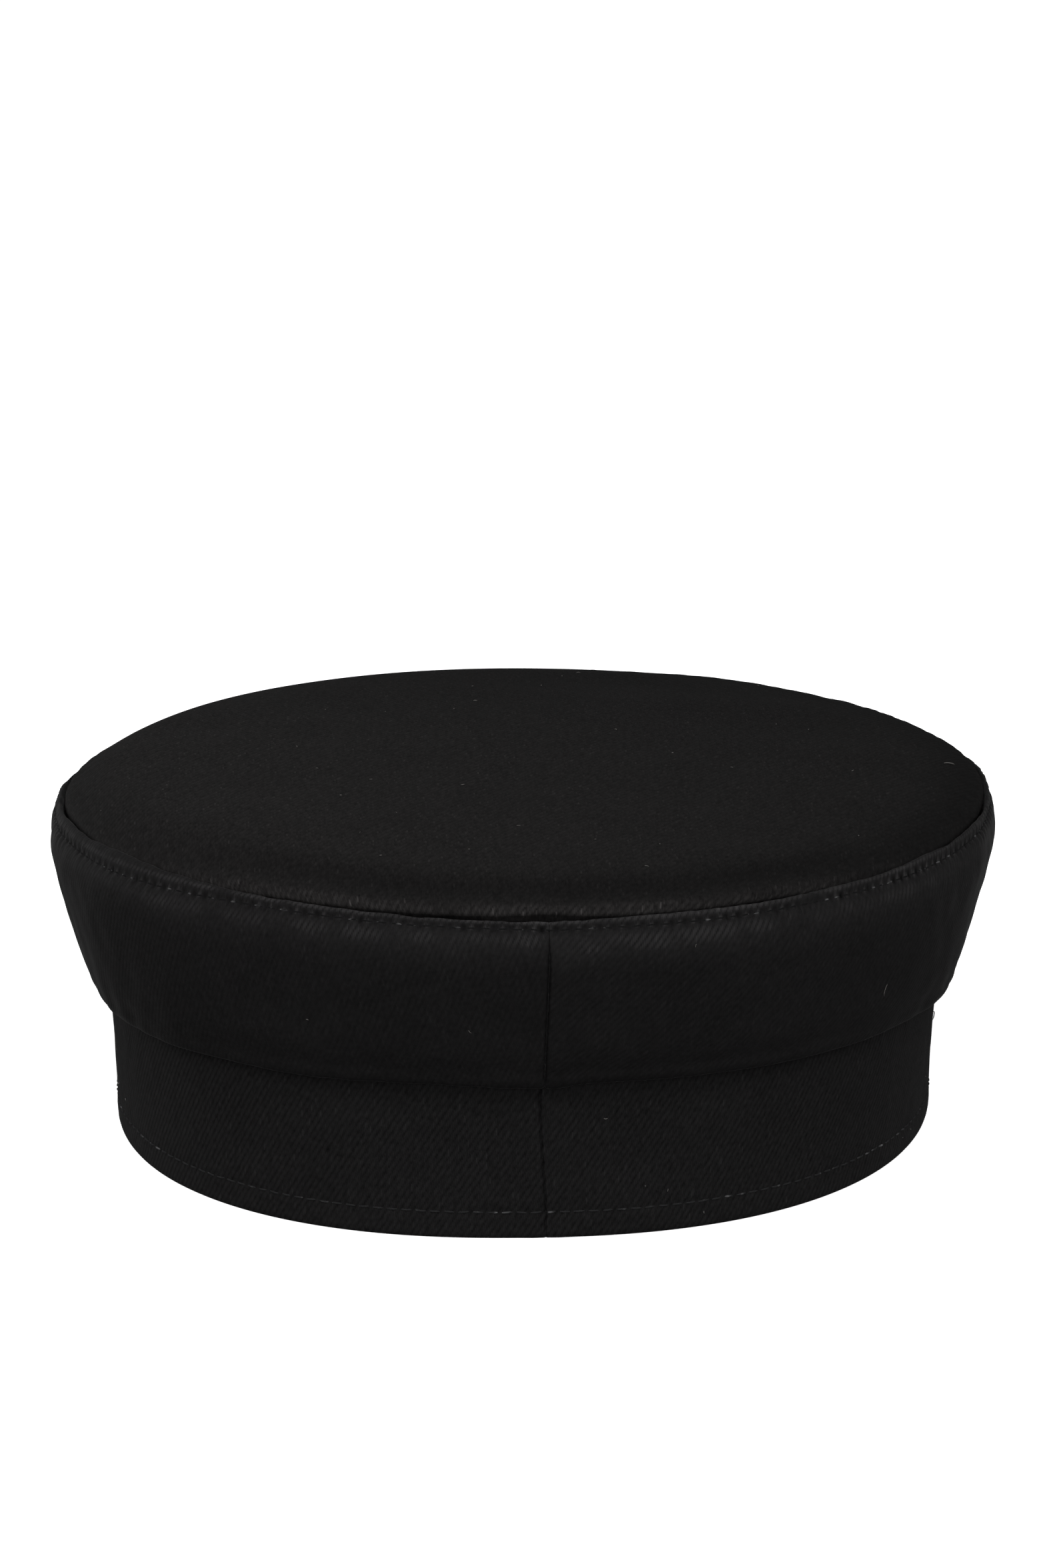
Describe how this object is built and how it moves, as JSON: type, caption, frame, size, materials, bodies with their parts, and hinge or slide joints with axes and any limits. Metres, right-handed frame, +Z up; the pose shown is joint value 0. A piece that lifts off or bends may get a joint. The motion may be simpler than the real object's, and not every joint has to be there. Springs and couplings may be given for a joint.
{
  "type": "baker boy cap",
  "caption": "Soft flat-topped cap in black twill: oval domed tip, flared side band, straight headband with a turned hem, short peak.",
  "frame": {"origin": "middle of the head opening, on the plane the hem stands on", "axes": "+Z up through the crown, -Y forward over the peak, +Y to the back seam, +X to the wearer's left"},
  "size_m": [0.195, 0.2528, 0.0728],
  "materials": {
    "black_twill": "matte"
  },
  "bodies": {
    "root": {"crown_tip": "black_twill", "crown_band_left": "black_twill", "crown_band_right": "black_twill", "headband": "black_twill", "peak": "black_twill"}
  },
  "joints": []
}
